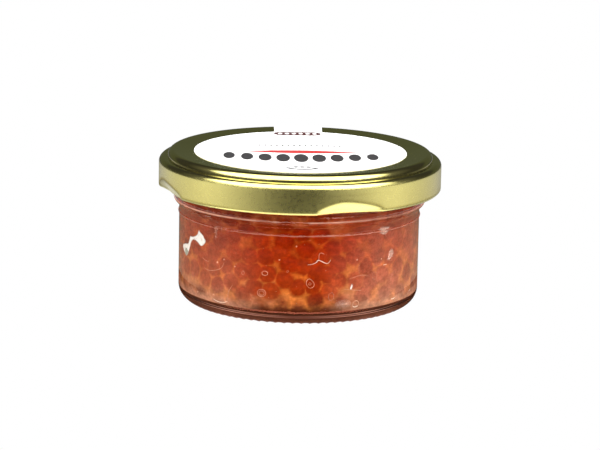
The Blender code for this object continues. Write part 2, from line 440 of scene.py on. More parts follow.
def pressLugs(radius, angle, height):
    # at each lug the curl is pushed in, with a slanted facet above it that starts steeply and fades out
    turn = (angle - math.radians(lid["lugTurn"])) * lid["lugs"] / fullTurn
    away = (turn - np.round(turn)) * fullTurn / lid["lugs"] / math.radians(lid["lugHalfAngle"])
    steep = np.clip((away + 1) / lid["lugStart"], 0, 1)
    fade = np.clip(1 - np.clip(away + 0.35, 0, 2) ** 2 / 1.82, 0, 1)
    depth = lid["lugDepth"] * steep * (1.7 - 0.7 * steep) * fade
    rise = np.clip(height - lid["bottom"] - lid["curlHeight"] / 2, 0, None)
    push = depth - lid["lugDepth"] / lid["lugFacet"] * rise
    push = 0.5 * (push + np.sqrt(push * push + lid["lugRound"])) * np.clip(depth * 3, 0, 1)
    near = (radius > lid["radius"] - 3) & (height < lid["bottom"] + lid["skirt"])
    lift = lid["lugLift"] * np.clip(1 - away * away, 0, 1) * np.clip(1 - rise / 2, 0, 1)
    return np.where(near, radius - push, radius), np.where(near, height + lift, height)


def makeLid():
    piece = spin("tinLid", lidProfile(), lid["steps"], pressLugs, smoothAngle=60)
    finishPiece(piece, [goldLacquer()], "gold_lacquer", "lid")


def goldLacquer():
    # glossy lacquer over tinplate, with fine scuffs, duller on the skirt
    newMaterial("goldLacquer")
    scuff = addRamp(addNoise(0.9, 5, 0.7), [(0.35, 0.10), (0.75, 0.16)])
    onSkirt = addRamp(addPlace("Z", 50), [(0.728, 0.16), (0.742, 0.0)])
    return finishSkin(Base_Color=addRamp(addNoise(14), lid["gold"]), Metallic=1.0,
                      Roughness=addMath("ADD", scuff, onSkirt), Coat_Weight=0.25, Coat_Roughness=0.08,
                      Normal=addBump(addNoise(0.5, 2), 0.0002))


# Paper label with its seal strip

label = {
    "radius": 27.6,
    "height": lid["panelHeight"] + 0.02,
    "paper": 0.07,
    "stripWidth": 13.2,
    "stripEnd": 12.0,
    "turn": 1.5,
    "rings": 6,
    "steps": 480,
    "clearance": 0.06,
    "white": [(0.3, (0.93, 0.93, 0.925)), (0.7, (0.96, 0.96, 0.955))],
}


def stripPath():
    # (radius, height) of the strip's underside, from the disc's edge over the lid to the glass
    flat, low = label["height"], lid["bottom"] - 0.1
    outer, body = lid["radius"] + label["clearance"], jar["bodyRadius"] + label["clearance"]
    corners = [(label["radius"], flat, 0), (28.4, flat + 0.04, 0.5), (31.6, 39.4, 0.8), (33.5, 39.5, 0.9)]
    corners += [(34.6, 38.4, 0.7), (36.2, 37.75, 0.9), (outer, 36.6, 0.8), (outer, 34.0, 0)]
    corners += [(outer, low, 0.9), (body, 22.6, 2.5), (body, label["stripEnd"], 0)]
    return roundCorners(corners, 7)


def makeLabel():
    steps, radius = label["steps"], label["radius"]
    angle = np.linspace(0, fullTurn, steps, endpoint=False) + math.pi / 2
    points, faces, row = [(0, 0, label["height"])], [], []
    for ring in range(1, label["rings"] + 1):
        reach = radius * ring / label["rings"]
        fresh = list(range(len(points), len(points) + steps))
        fresh.append(fresh[0])
        points += [(reach * math.cos(a), reach * math.sin(a), label["height"]) for a in angle]
        faces += bridge(row, fresh) if row else [(0, a, b) for a, b in zip(fresh, fresh[1:])]
        row = fresh
    half = int(round(math.asin(label["stripWidth"] / 2 / radius) / fullTurn * steps))
    across = [i % steps for i in range(-half, half + 1)]
    row = [row[i] for i in across]
    sides = [radius * math.cos(angle[i]) for i in across]
    for reach, height in stripPath()[1:]:
        fresh = list(range(len(points), len(points) + len(row)))
        points += [(x, math.sqrt(reach * reach - x * x), height) for x in sides]
        faces += bridge(row, fresh)
        row = fresh
    piece = addMesh("paperLabel", points, faces)
    sheet = piece.modifiers.new("sheet", "SOLIDIFY")
    sheet.thickness = label["paper"] * mm
    sheet.offset = 1
    graph = bpy.context.evaluated_depsgraph_get()
    piece.data = bpy.data.meshes.new_from_object(piece.evaluated_get(graph))
    piece.modifiers.clear()
    turnWithLabel(piece.data)
    piece.data.shade_smooth()
    piece.data.set_sharp_from_angle(angle=math.radians(40))
    finishPiece(piece, [whitePaper()], "white_paper", "label")


def turnWithLabel(mesh):
    mesh.transform(Matrix.Rotation(math.radians(label["turn"]), 4, "Z"))


def whitePaper():
    # coated paper with a faint tooth
    newMaterial("whitePaper")
    tooth = addBump(addNoise(0.25, 4, 0.6), 0.006)
    return finishSkin(Base_Color=addRamp(addNoise(5), label["white"]), Roughness=0.5, Specular_IOR_Level=0.3,
                      Normal=tooth)


# Plain shapes printed on the label

ink = {
    "thickness": 0.02,
    "sunk": 0.01,
    # a bent row of beads
    "beads": 9,
    "beadSize": (3.8, 3.0),  # in the middle and at the ends
    "beadStretch": 2.8,
    "beadReach": 18.5,
    "beadRow": (-9.2, 2.6),  # its middle, and how far its ends go back
    # a straight row of dots
    "dots": 15,
    "dotSize": (0.6, 1.7),
    "dotGap": 1.5,
    "dotRow": 7.6,
    # a small bowl in front with three spots over it
    "bowlSize": (4.2, 2.6),
    "bowlHollow": (0.72, 0.6),
    "bowlPlace": (0.0, -21.6),
    "bowlSpots": (-1.6, 0.0, 1.6),
    "stripe": (-0.9, 34.0, 4.0),  # place, width and height of the lens
    # a bar on the strip with pale spots
    "tag": (-0.3, 24.3, 12.8, 4.6),
    "tagSpots": 6,
    "tagReach": 4.6,
    "dark": (0.02, 0.018, 0.022),
    "red": (0.5, 0.02, 0.02),
    "wine": (0.06, 0.006, 0.01),
    "pale": (0.8, 0.78, 0.77),
}


def oval(width, height, count=20):
    turns = [fullTurn * i / count for i in range(count)]
    return [(width / 2 * math.cos(a), height / 2 * math.sin(a)) for a in turns]


def roundedBar(width, height, count=7):
    end = height / 2
    right = arc((width / 2 - end, 0), end, 180, 0, count)
    return right + [(-x, -y) for x, y in right]


def makeInk(name, colour, shapes, rise=0.0):
    # printed shapes as very thin prisms
    low = label["height"] + label["paper"] + rise
    points, faces = [], []
    for outline, (across, back) in shapes:
        bottom = list(range(len(points), len(points) + len(outline)))
        top = [i + len(outline) for i in bottom]
        for height in (low - ink["sunk"], low + ink["thickness"]):
            points += [(across + x, back + y, height) for x, y in outline]
        faces += [top, bottom[::-1]] + bridge(bottom + bottom[:1], top + top[:1])
    piece = addMesh(name, points, faces, 0)
    tidyMesh(piece)
    turnWithLabel(piece.data)
    finishPiece(piece, [printInk(name + "Colour", colour)], "white_paper")


def printInk(name, colour):
    # slightly uneven ink
    newMaterial(name)
    lighter = tuple(0.9 * c + 0.03 for c in colour)
    return finishSkin(Base_Color=addRamp(addNoise(0.4), [(0.35, colour), (0.8, lighter)]), Roughness=0.45)


def makePrint():
    dark = []
    large, small = ink["beadSize"]
    row, bend = ink["beadRow"]
    for share in np.linspace(-1, 1, ink["beads"]):
        size = large + (small - large) * abs(share)
        place = (share * ink["beadReach"], row + bend * share * share)
        dark.append((oval(size, size * ink["beadStretch"]), place))
    for i in range(ink["dots"]):
        dark.append((oval(*ink["dotSize"], 10), ((i - ink["dots"] // 2) * ink["dotGap"], ink["dotRow"])))
    wide, deep = ink["bowlSize"]
    thin, shallow = ink["bowlHollow"]
    bowl = arc((0, 0), wide, 90, 270, 16, deep / wide)
    dark.append((bowl + [(thin * x, shallow * y) for x, y in bowl[::-1]], ink["bowlPlace"]))
    dark += [(oval(1.3, 1.6), (x, ink["bowlPlace"][1] + 0.8)) for x in ink["bowlSpots"]]
    back, width, height = ink["stripe"]
    turns = np.linspace(0, fullTurn, 48, endpoint=False)
    lens = [(width / 2 * math.cos(t), height / 2 * math.sin(t) ** 3) for t in turns]
    middle, tagBack, tagWidth, tagHeight = ink["tag"]
    spots = np.linspace(middle - ink["tagReach"], middle + ink["tagReach"], ink["tagSpots"])
    makeInk("printBeads", ink["dark"], dark)
    makeInk("printStripe", ink["red"], [(lens, (0.0, back))])
    makeInk("printTag", ink["wine"], [(roundedBar(tagWidth, tagHeight), (middle, tagBack))])
    makeInk("printSpots", ink["pale"], [(oval(1.2, 2.2), (x, tagBack)) for x in spots], ink["thickness"])


# Salmon eggs, packed against the glass and on the floor

roe = {
    "seed": 5,
    "atGlass": 268,
    "behind": 300,
    "radius": (2.3, 2.8),
    "top": 37.8,
    "shell": 9.6,
    "floorLayer": 5.2,
    "squash": 0.93,
    "pressed": 0.87,
    "rounds": 240,
    "intoGlass": 0.03,
    # colours from the floor up, as shares of 30 mm: darker and browner near the floor as painted shade,
    # lighter at the top as painted light
    "darkTones": [
        (0.11, (0.07, 0.014, 0.005)), (0.16, (0.10, 0.02, 0.007)), (0.28, (0.16, 0.010, 0.0004)),
        (0.8, (0.19, 0.006, 0.0002)), (0.9, (0.26, 0.014, 0.001)),
    ],
    "lightTones": [
        (0.11, (0.14, 0.035, 0.01)), (0.16, (0.22, 0.055, 0.018)), (0.28, (0.28, 0.035, 0.005)),
        (0.8, (0.28, 0.018, 0.0008)), (0.9, (0.38, 0.045, 0.006)),
    ],
    "coreTones": [(0.3, (0.19, 0.01, 0.001)), (0.7, (0.31, 0.04, 0.005))],
    "coreLumps": (27, 1.3, 1.25, 3, 0.5),  # waves round and up, and how deep they are
    # eggs that show in front: turn from the front in degrees, height, radius, how light
    "seen": [
        (-60, 16.7, 2.4, 0.4), (-46, 16.7, 2.6, 0.5), (-60.7, 10.8, 2.5, 0.35), (-55.2, 5.9, 2.4, 0.0),
        (-42.8, 8.5, 2.3, 0.15), (-27.7, 7.1, 2.7, 0.3), (-41.5, 4.9, 2.2, 0.3), (-28.3, 13.2, 2.5, 0.5),
        (-24, 17.1, 2.5, 0.5), (-15.1, 13.0, 2.8, 0.45), (-6.8, 21.7, 2.7, 0.35), (-4.1, 15.8, 2.7, 0.3),
        (0.2, 10.0, 2.3, 0.25), (-7.8, 5.9, 2.6, 0.1), (-18.6, 21.6, 2.5, 0.7), (-33.9, 21.4, 2.5, 0.5),
        (-51.7, 21.0, 2.3, 0.45), (-72.3, 6.0, 2.4, 0.3), (3.8, 19.5, 2.4, 0.3), (16.5, 19.8, 2.5, 0.3),
        (25.2, 20.9, 2.3, 0.55), (9.3, 13.7, 2.8, 0.35), (19.7, 15.6, 2.5, 0.35), (34.8, 14.5, 2.4, 0.35),
        (20.3, 11.4, 2.3, 0.75), (8.8, 6.9, 2.6, 0.1), (21.4, 6.3, 2.4, 0.05), (33.8, 7.2, 2.6, 0.3),
        (47.2, 6.8, 2.5, 0.05), (60.1, 6.5, 2.5, 0.1), (75.3, 6.8, 2.4, 0.1), (45.7, 11.8, 2.4, 0.5),
        (57.2, 13.0, 2.5, 0.5), (41.1, 21.1, 2.6, 0.6), (56.5, 19.9, 2.5, 0.55), (1.6, 24.2, 2.5, 0.4),
    ],
}


def packEggs():
    # eggs start at random places and push each other apart; those seen in front stay put
    draw = np.random.default_rng(roe["seed"])
    seen = np.array(roe["seen"])
    atGlass, count = roe["atGlass"], roe["atGlass"] + roe["behind"]
    size = draw.uniform(*roe["radius"], count)
    size[:len(seen)] = seen[:, 2]
    tone = draw.uniform(0.2, 0.8, count)
    tone[:len(seen)] = seen[:, 3]
    core, low, top = jar["insideRadius"] - roe["shell"], jar["floorHeight"], roe["top"]
    turn = np.radians(np.append(seen[:, 0], draw.uniform(0, 360, count - len(seen))))
    height = np.append(seen[:, 1], draw.uniform(low + 2, top - 2, count - len(seen)))
    reach = np.where(np.arange(count) < atGlass, 26.5, np.sqrt(draw.uniform(0, 24.0 ** 2, count)))
    inner = (np.arange(count) >= atGlass) & (reach < core + 1)
    height = np.where(inner, low + draw.uniform(1, roe["floorLayer"], count), height)
    place = np.stack([reach * np.sin(turn), -reach * np.cos(turn), height], -1)
    fixed = place[:len(seen)].copy()
    contact = (size[:, None] + size[None]) * roe["squash"]
    for _ in range(roe["rounds"]):
        gap = place[:, None] - place[None]
        apart = np.sqrt((gap ** 2).sum(-1)) + np.eye(count) * 99
        push = np.clip(contact - apart, 0, None)
        place += (gap / apart[..., None] * push[..., None]).sum(1) * 0.32
        place[:len(seen)] = fixed
        holdInside(place, size, core, low)
    return place, size, tone


def holdInside(place, size, core, low):
    # keeps the eggs between the glass and the core, and the outer ones at the glass
    reach = np.hypot(place[:, 0], place[:, 1])
    rest = size * roe["pressed"]
    wall = insideRadius(place[:, 2]) - rest
    corner = jar["floorCorner"] * 0.45 * np.clip(1 - (place[:, 2] - low - rest) / 2.0, 0, 1)
    new = np.minimum(reach, wall - corner)
    new[:roe["atGlass"]] = (wall - corner)[:roe["atGlass"]]
    upper = place[:, 2] > low + roe["floorLayer"]
    new = np.where(upper, np.maximum(new, core + 0.6), new)
    place[:, :2] *= (new / np.maximum(reach, 0.01))[:, None]
    place[:, 2] = np.clip(place[:, 2], low + rest, roe["top"] - rest)


def makeEggs(place, size, tone):
    draw = np.random.default_rng(roe["seed"] + 1)
    shape = bmesh.new()
    bmesh.ops.create_icosphere(shape, subdivisions=3, radius=1.0)
    ball = np.array([v.co for v in shape.verts])
    faces = np.array([[v.index for v in f.verts] for f in shape.faces])
    shape.free()
    parts = []
    for centre, radius, light in zip(place, size, tone):
        turn, _ = np.linalg.qr(draw.normal(size=(3, 3)))
        stretch = np.diag([1.0, draw.uniform(0.93, 1.0), draw.uniform(0.9, 1.0)])
        points = centre + radius * ball @ (turn @ stretch @ turn.T)
        reach = np.hypot(points[:, 0], points[:, 1])
        wall = insideRadius(points[:, 2]) + roe["intoGlass"]
        points[:, :2] *= np.minimum(1, wall / np.maximum(reach, 0.01))[:, None]
        points[:, 2] = np.clip(points[:, 2], jar["floorHeight"] - roe["intoGlass"], None)
        parts.append((points, faces, light))
    joinParts("roeEggs", parts, ["tone"], eggSkin(), "roe")


def addEggColour(tone):
    # deep red, darker and browner near the floor as painted shade and lighter at the top as painted light;
    # tone makes an egg lighter
    high = addPlace("Z", 30)
    dark, light = [addRamp(high, roe[name]) for name in ("darkTones", "lightTones")]
    share = addUneven(0.5, addMath("SUBTRACT", tone, 0.2), 2.5, 2)
    return addMix(share, dark, light)


def eggSkin():
    # wet eggs: light passes a little way in
    newMaterial("eggSkin")
    return finishSkin(Base_Color=addEggColour(addValue("tone")), Roughness=0.5, Specular_IOR_Level=0.15,
                      Subsurface_Weight=0.5, Subsurface_Scale=1.5 * mm, Subsurface_Radius=(1.0, 0.25, 0.08))


def makeCore():
    # what lies behind the outer eggs
    side = jar["insideRadius"] - roe["shell"] + 1.2
    low, top = jar["floorHeight"] + roe["floorLayer"] - 0.6, roe["top"] - 0.4
    roundWaves, lean, upWaves, twist, deep = roe["coreLumps"]

    def lumpy(radius, angle, height):
        wave = np.sin(angle * roundWaves + height * lean) * np.sin(height * upWaves + angle * twist) * deep
        return np.where(radius > side - 2, radius + wave, radius), height

    line = roundCorners([(0, low, 0), (side, low, 3), (side, top, 0.5), (0, top, 0)], 8)
    wallStart = [i for i, p in enumerate(line) if p[0] > side - 0.01][0]
    wall = [(side, z) for z in np.linspace(line[wallStart][1] + 0.5, roe["top"] - 1.2, 40)]
    piece = spin("roeCore", line[:wallStart + 1] + wall + line[wallStart + 1:], 240, lumpy)
    finishPiece(piece, [deepRoe()], "salmon_roe")


def deepRoe():
    newMaterial("deepRoe")
    tone = addRamp(addNoise(4), roe["coreTones"])
    return finishSkin(Base_Color=tone, Roughness=0.6, Specular_IOR_Level=0.1)


# Cloudy brine between the eggs and the glass

brine = {
    "intoGlass": 0.08,
    "stepsRound": 760,
    "rowHeight": 0.29,
    "crease": 0.34,
    "bulge": 0.4,
    "blend": 0.12,
    "deepest": 2.5,
    # where it is deep, from the floor up as shares of 30 mm: darker near the floor as painted shade, lighter
    # at the top as painted light
    "gapTones": [
        (0.1, (0.32, 0.10, 0.04)), (0.22, (0.40, 0.12, 0.03)), (0.33, (0.43, 0.11, 0.018)),
        (0.45, (0.41, 0.088, 0.012)), (0.6, (0.36, 0.052, 0.006)), (0.8, (0.32, 0.038, 0.004)),
        (0.95, (0.42, 0.08, 0.02)),
    ],
    # painted reflection: a pale sheen, strongest at the sides and low down
    "sideSheenTone": (0.78, 0.36, 0.23),
    "sideSheenAcross": [(0.02, 0.2), (0.2, 0.2), (0.36, 0.0), (0.6, 0.0), (0.68, 0.1), (0.82, 0.34), (0.98, 0.36)],
    "sideSheenUp": [(0.19, 0.7), (0.4, 0.45), (0.8, 0.3)],
    # near the floor: painted shade in the middle, painted light at the sides, brown underneath
    "middle": [(0.22, 0.1), (0.36, 1.0), (0.62, 1.0), (0.75, 0.1)],
    "darkTone": (0.08, 0.018, 0.006),
    "paintedLightTone": (0.85, 0.42, 0.25),
    "underTone": (0.062, 0.032, 0.022),
}


def brineProfile():
    floor, corner, reach = jar["floorHeight"], jar["floorCorner"], brine["intoGlass"]
    centre, underLid = jar["insideRadius"] - corner, lid["bottom"] - 0.3
    line = [(r, floor - reach) for r in np.linspace(0, centre, 26)]
    line += arc((centre, floor + corner), corner + reach, 180, 90, 8)[1:-1]
    rows = int((underLid - floor - corner) / brine["rowHeight"])
    for height in (*np.linspace(floor + corner, underLid, rows), *np.linspace(underLid, roe["top"], 9)[1:]):
        line.append((float(insideRadius(height)) + reach, float(height)))
    return line + [(0.0, roe["top"])]


def brineDepth(points, normals, place, size, tone):
    # how deep the brine is in front of the eggs, softened where eggs meet, the tone of the nearest egg,
    # and where two eggs meet
    depth, light, crease = np.empty(len(points)), np.empty(len(points)), np.empty(len(points))
    for start in range(0, len(points), 4000):
        some = slice(start, start + 4000)
        toEgg = place[None] - points[some, None]
        along = (toEgg * normals[some, None]).sum(-1)
        off2 = (toEgg ** 2).sum(-1) - along ** 2
        each = np.clip(along - 0.9 * size[None], 0, None) + brine["bulge"] * off2 / size[None]
        each = np.where(along > -1, each, 50)
        nearest = np.partition(each, 1, axis=1)[:, :2]
        crease[some] = np.clip(1 - (nearest[:, 1] - nearest[:, 0]) / brine["crease"], 0, 1)
        weight = np.exp(-np.minimum(each, 50) / brine["blend"]) + 1e-12
        total = weight.sum(1)
        depth[some] = -brine["blend"] * np.log(total)
        light[some] = (weight * tone[None]).sum(1) / total
    return np.clip(depth / brine["deepest"], 0, 1), light, crease


def makeBrine(place, size, tone):
    piece = spin("brine", brineProfile(), brine["stepsRound"], smoothAngle=180)
    points = np.array([v.co for v in piece.data.vertices]) / mm
    reach = np.hypot(points[:, 0], points[:, 1])
    onWall = np.clip((points[:, 2] - jar["floorHeight"]) / jar["floorCorner"], 0, 1)
    outward = points * (1, 1, 0) / np.maximum(reach, 0.01)[:, None]
    normals = -outward * onWall[:, None] + np.array((0, 0, 1)) * (1 - onWall)[:, None]
    normals /= np.linalg.norm(normals, axis=1)[:, None]
    depth, light, crease = brineDepth(points, normals, place, size, tone)
    for name, values in (("depth", depth), ("tone", light), ("crease", crease)):
        addValues(piece, name, values)
    finishPiece(piece, [cloudyBrine()], "salmon_roe")


def cloudyBrine():
    # thin brine takes the egg's colour, deep brine is orange and paler near the floor
    newMaterial("cloudyBrine")
    high = addPlace("Z", 30)
    across = addMath("ADD", addPlace("X", 60), 0.5)
    thicker = addRamp(high, [(0.12, 0.6), (0.22, 0.85), (0.35, 1.0), (0.8, 0.95)])
    depth = multiply(addValue("depth"), addUneven(1.1, 0.5, 7), thicker)
    patches = addRamp(addNoise(6, 4, 0.6), [(0.45, 0.0), (0.66, 0.2)])
    ridge = multiply(addValue("crease"), patches)
    grainy = addMath("ADD", depth, addUneven(0.24, -0.12, 1.5, 4, 0.6))
    fog = addRamp(addMath("ADD", grainy, ridge), [(0.25, 0.0), (0.39, 0.5), (0.54, 1.0)])
    level = addMath("ADD", high, addUneven(0.7, -0.35, 8))
    gaps = addRamp(level, brine["gapTones"])
    colour = addMix(fog, addEggColour(addValue("tone")), gaps)
    # painted reflection: a pale sheen at the sides and low down
    sides, lower = addRamp(across, brine["sideSheenAcross"]), addRamp(high, brine["sideSheenUp"])
    sideSheen = multiply(sides, lower, addUneven(1.6, 0.2, 5, 4, 0.6))
    colour = addMix(sideSheen, colour, brine["sideSheenTone"])
    nearFloor = addMath("ADD", high, addUneven(0.09, -0.045, 3))
    middle = addRamp(across, brine["middle"])
    # painted shade low down in the middle
    paintedShade = multiply(middle, addRamp(nearFloor, [(0.12, 0.8), (0.17, 0.0)]))
    colour = addMix(paintedShade, colour, brine["darkTone"])
    # painted light low down at the sides
    corner = addRamp(high, [(0.106, 0.0), (0.112, 1.0)])
    fading = addRamp(nearFloor, [(0.12, 0.55), (0.19, 0.0)])
    pale = multiply(addMath("SUBTRACT", 1.0, middle), corner, fading)
    colour = addMix(pale, colour, brine["paintedLightTone"])
    colour = addMix(addRamp(high, [(0.1045, 1.0), (0.108, 0.0)]), colour, brine["underTone"])
    streaky = multiply(addNoise(0.9, 4, 0.65), addNoise(3.2, 4, 0.6, (1, 1, 1.8)))
    streaks = addRamp(streaky, [(0.14, 0.72), (0.25, 1.0), (0.38, 1.38)])
    cloud = addNode("BsdfDiffuse", Color=addTone(colour, streaks))
    seen = addMath("SUBTRACT", 1.0, addNode("LightPath").outputs["Is Shadow Ray"])
    cover = multiply(addRamp(depth, [(0.0, 0.86), (0.2, 0.95), (0.55, 0.99)]), seen)
    return finishMaterial(clearUnder(cover, cloud))


# Air at the glass: a pocket, bubbles, specks and pale smears, with painted reflections and highlights

air = {
    "intoGlass": 0.13,
    "cell": 0.13,
    "thin": 0.58,
    "specks": 110,
    "speckSpans": [(-90, 90), (4.2, 25), (0.05, 0.1), (0.0, 0.3)],  # turn, height, size, how bright
    "layer": 0.012,
    "rise": 0.05,
    "tones": [(0.0, (0.72, 0.34, 0.2)), (0.5, (0.88, 0.85, 0.78)), (1.0, (0.3, 0.33, 0.25))],
    "rimTones": [(0.0, (0.4, 0.16, 0.08)), (0.5, (0.42, 0.3, 0.2)), (1.0, (0.42, 0.2, 0.1))],
    "bubbleTones": [(0.0, (0.5, 0.15, 0.06)), (0.5, (0.74, 0.36, 0.2)), (1.0, (0.9, 0.74, 0.58))],
    # how solid, shade (0 pink, 0.5 white, 1 grey green), softness, outline as (turn, height)
    "shapes": [
        (1.0, 0.5, 0.1, [
            (-57.3, 21.53), (-56.6, 20.99), (-55.2, 20.64), (-53.4, 20.21), (-52.6, 19.55), (-51.1, 18.87),
            (-52.8, 17.87), (-54.9, 17.12), (-57.0, 17.61), (-59.2, 18.15), (-61.6, 18.32), (-63.5, 17.9),
            (-64.9, 17.08), (-65.8, 15.98), (-66.7, 15.21), (-67.7, 14.23), (-69.7, 12.94), (-71.7, 13.18),
            (-73.5, 13.74), (-74.7, 14.27), (-76.2, 14.86), (-75.5, 15.63), (-71.3, 16.27), (-68.2, 16.45),
            (-66.9, 17.62), (-65.8, 18.96), (-63.7, 18.86), (-61.0, 19.29), (-58.9, 19.87), (-57.9, 20.63),
        ]),
        (0.85, 1.0, 0.3, [
            (-73.1, 15.12), (-70.4, 15.66), (-68.6, 15.32), (-67.7, 14.87), (-67.7, 14.1), (-69.7, 12.98),
            (-71.7, 13.18), (-73.3, 13.99),
        ]),
        (0.9, 0.35, 0.25, [
            (27.1, 10.69), (27.9, 10.11), (27.7, 9.35), (26.9, 8.67), (26.0, 8.99), (26.2, 9.64),
            (26.7, 10.21),
        ]),
        (0.3, 0.2, 0.5, [
            (51.6, 18.12), (53.6, 17.5), (53.9, 16.6), (52.8, 15.6), (50.6, 14.8), (48.7, 14.96),
            (48.2, 15.77), (49.2, 16.78), (50.0, 17.81),
        ]),
        (0.4, 0.15, 0.5, [
            (42.3, 24.06), (44.2, 24.47), (47.1, 24.15), (49.8, 24.16), (50.2, 23.26), (48.7, 22.28),
            (46.1, 21.72), (43.5, 22.24), (41.8, 23.11),
        ]),
        (0.15, 0.1, 0.4, [
            (-45.7, 23.74), (-42.3, 23.71), (-41.4, 23.13), (-43.1, 22.67), (-43.2, 20.04), (-44.7, 20.02),
            (-45.3, 22.03),
        ]),
        (0.14, 0.2, 1.2, [
            (17.6, 5.7), (20.6, 6.7), (25.0, 6.75), (27.7, 5.97), (27.4, 4.46), (23.3, 3.87), (18.5, 4.15),
        ]),
    ],
    # painted highlights on bubble rims: turn, height, width, height of the ring, half thickness, how bright
    "rings": [
        (-27.6, 12.66, 0.7, 1.1, 0.08, 0.3), (-16.2, 13.19, 1.5, 1.1, 0.1, 0.4),
        (-17.7, 8.02, 2.2, 1.9, 0.09, 0.35), (-17.7, 8.0, 1.3, 1.1, 0.07, 0.4),
        (29.6, 5.0, 1.7, 1.8, 0.12, 0.5), (16.5, 7.47, 1.4, 2.0, 0.07, 0.1),
        (40.4, 11.76, 1.6, 1.9, 0.07, 0.15), (51.2, 16.4, 2.0, 3.2, 0.06, 0.15),
        (5.9, 10.9, 0.6, 0.6, 0.06, 0.3), (63.0, 10.2, 1.4, 2.4, 0.06, 0.1),
        (-62.0, 9.0, 1.2, 1.0, 0.06, 0.1), (-5.0, 14.0, 0.5, 0.5, 0.05, 0.2),
    ],
    # painted highlight strokes: half thickness, how bright, closed, points as (turn, height)
    "lines": [
        (0.12, 0.25, 0, [(-54.0, 14.52), (-52.4, 14.02), (-50.8, 13.82), (-48.9, 13.83)]),
        (0.11, 0.3, 0, [
            (-52.3, 11.95), (-50.0, 11.52), (-47.0, 11.65), (-42.9, 12.21), (-40.2, 12.93), (-39.1, 13.86),
            (-38.6, 14.77),
        ]),
        (0.2, 0.8, 0, [(-45.8, 4.4), (-43.7, 3.95), (-40.9, 3.85), (-38.3, 4.1), (-36.5, 4.6)]),
        (0.08, 0.35, 0, [(-33.4, 9.08), (-34.9, 7.98), (-36.0, 6.91), (-36.1, 5.58), (-36.5, 4.6)]),
        (0.08, 0.3, 0, [(-48.4, 6.6), (-48.2, 5.5), (-47.2, 4.9), (-45.5, 4.4)]),
        (0.13, 1.0, 0, [
            (4.7, 15.85), (7.0, 15.95), (9.1, 16.48), (9.3, 17.09), (11.7, 16.63), (13.5, 16.1),
            (14.8, 16.15), (15.9, 17.03),
        ]),
        (0.08, 0.5, 0, [(9.6, 16.9), (10.1, 17.23), (10.0, 18.42), (10.9, 19.02), (12.6, 18.5)]),
        (0.08, 0.45, 1, [
            (5.7, 12.34), (4.4, 11.84), (4.0, 11.08), (4.8, 10.22), (6.0, 9.74), (7.4, 10.0), (8.2, 10.64),
            (7.4, 11.51),
        ]),
        (0.1, 0.2, 0, [(25.6, 11.73), (28.3, 12.0), (31.1, 12.41), (34.0, 12.35), (37.0, 11.88)]),
        (0.07, 0.2, 0, [(31.0, 15.39), (30.9, 14.09), (31.2, 12.66)]),
        (0.07, 0.45, 0, [(23.1, 9.12), (27.1, 8.83), (32.8, 8.43)]),
        (0.07, 0.25, 0, [(51.3, 9.35), (52.5, 11.23), (55.1, 11.87)]),
        (0.17, 0.9, 0, [(28.0, 4.5), (29.4, 4.15), (30.9, 4.5)]),
        (0.13, 0.8, 0, [(45.8, 14.1), (47.0, 14.14), (48.4, 14.1)]),
        (0.2, 0.9, 0, [(52.6, 4.6), (54.2, 4.5), (55.6, 4.8)]),
        (0.14, 0.8, 0, [(69.4, 4.9), (70.6, 5.0), (71.8, 5.2)]),
    ],
    # painted glints, bright dots: turn, height, size
    "dotGlow": 0.5,
    "dots": [
        (-57.7, 5.0, 0.24), (-45.2, 5.6, 0.22), (-9.1, 16.92, 0.2), (-0.9, 20.55, 0.18), (-32.2, 13.97, 0.2),
        (-43.0, 14.17, 0.25), (-38.7, 15.31, 0.22), (44.5, 15.84, 0.2), (29.7, 16.54, 0.2), (24.4, 5.3, 0.2),
    ],
}


def wallReach(height):
    # the inside's radius, also round the corner to the floor
    corner = jar["floorCorner"]
    drop = np.clip(jar["floorHeight"] + corner - height, 0, corner)
    return insideRadius(height) - corner + np.sqrt(corner ** 2 - drop ** 2)


def onWall(across, height, outset):
    # across is measured along the wall from the front, in millimetres
    a = across / jar["insideRadius"]
    reach = wallReach(height) + outset
    return np.stack([reach * np.sin(a), -reach * np.cos(a), height], -1)


def softenLine(points, closed, rounds=2):
    # cuts the corners of a line of (turn, height) and measures it in millimetres
    line = np.array(points, float) * (math.radians(1) * jar["insideRadius"], 1)
    for _ in range(rounds):
        ahead = np.roll(line, -1, 0) if closed else line[1:]
        here = line if closed else line[:-1]
        middle = np.stack([0.75 * here + 0.25 * ahead, 0.25 * here + 0.75 * ahead], 1).reshape(-1, 2)
        line = middle if closed else np.vstack([line[:1], middle, line[-1:]])
    return line


def toLine(points, line):
    # each point's distance to a closed line, and whether it lies inside
    start, end = line, np.roll(line, -1, 0)
    along = end - start
    toPoint = points[:, None] - start[None]
    share = np.clip((toPoint * along).sum(-1) / (along ** 2).sum(-1), 0, 1)
    distance = np.linalg.norm(toPoint - share[..., None] * along, axis=-1).min(1)
    crosses = (start[:, 1] > points[:, None, 1]) != (end[:, 1] > points[:, None, 1])
    rise = np.where(along[:, 1] == 0, 1e-9, along[:, 1])
    reach = start[:, 0] + (points[:, None, 1] - start[:, 1]) / rise * along[:, 0]
    return distance, (crosses & (points[:, None, 0] < reach)).sum(1) % 2 == 1


